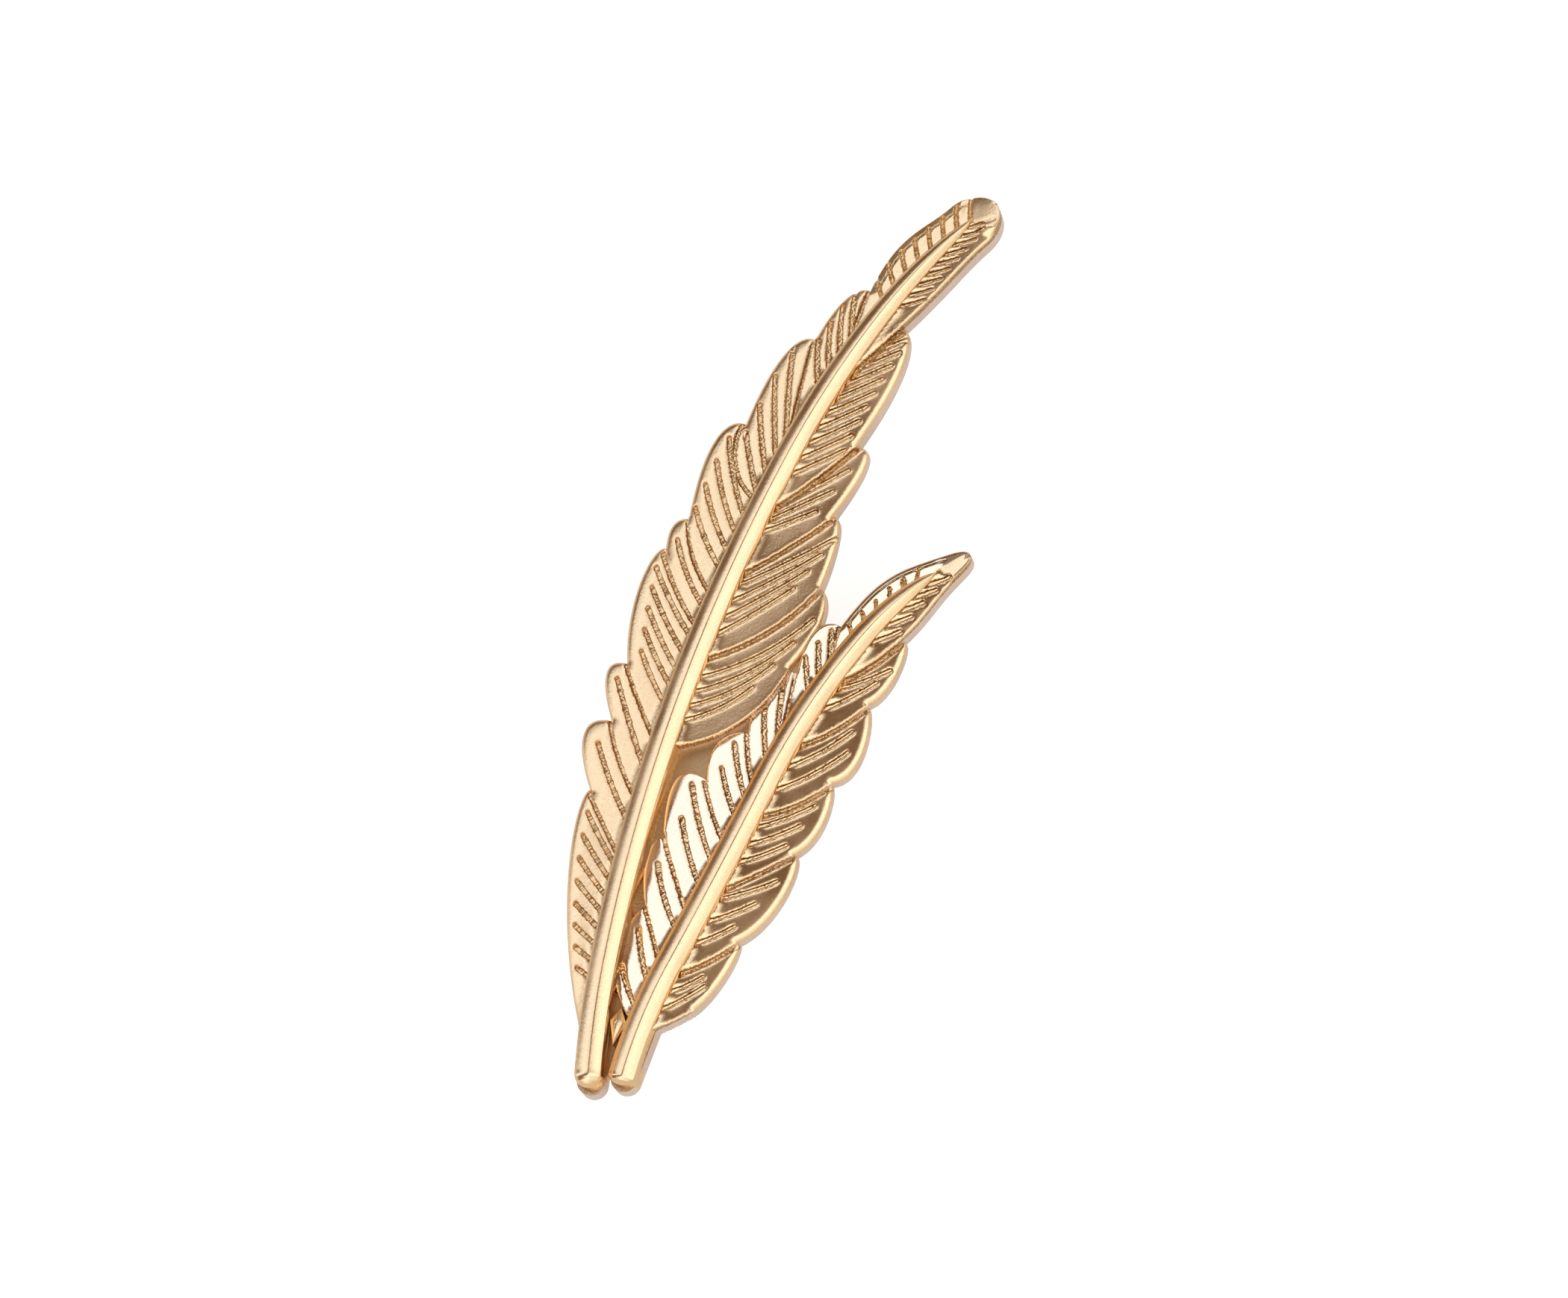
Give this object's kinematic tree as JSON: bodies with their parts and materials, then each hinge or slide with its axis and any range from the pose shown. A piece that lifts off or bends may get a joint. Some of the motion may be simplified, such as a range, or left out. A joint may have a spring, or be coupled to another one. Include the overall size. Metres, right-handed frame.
{
  "type": "lapel pin",
  "caption": "Gold-plated lapel pin: a long and a short curved feather with overlapping engraved leaves on one cast plate, standing on a tack post in a round clutch.",
  "frame": {"origin": "middle of the clutch's flat face, on which the unworn pin stands", "axes": "+Z out of the pin's face, +Y along the long feather from its foot to its tip"},
  "size_m": [0.0186, 0.0607, 0.012],
  "materials": {
    "satin_gold": "satin gold plating on cast zinc",
    "clutch_brass": "bright brass plating"
  },
  "bodies": {
    "root": {"feather_casting": "satin_gold", "clutch": "clutch_brass"}
  },
  "joints": []
}
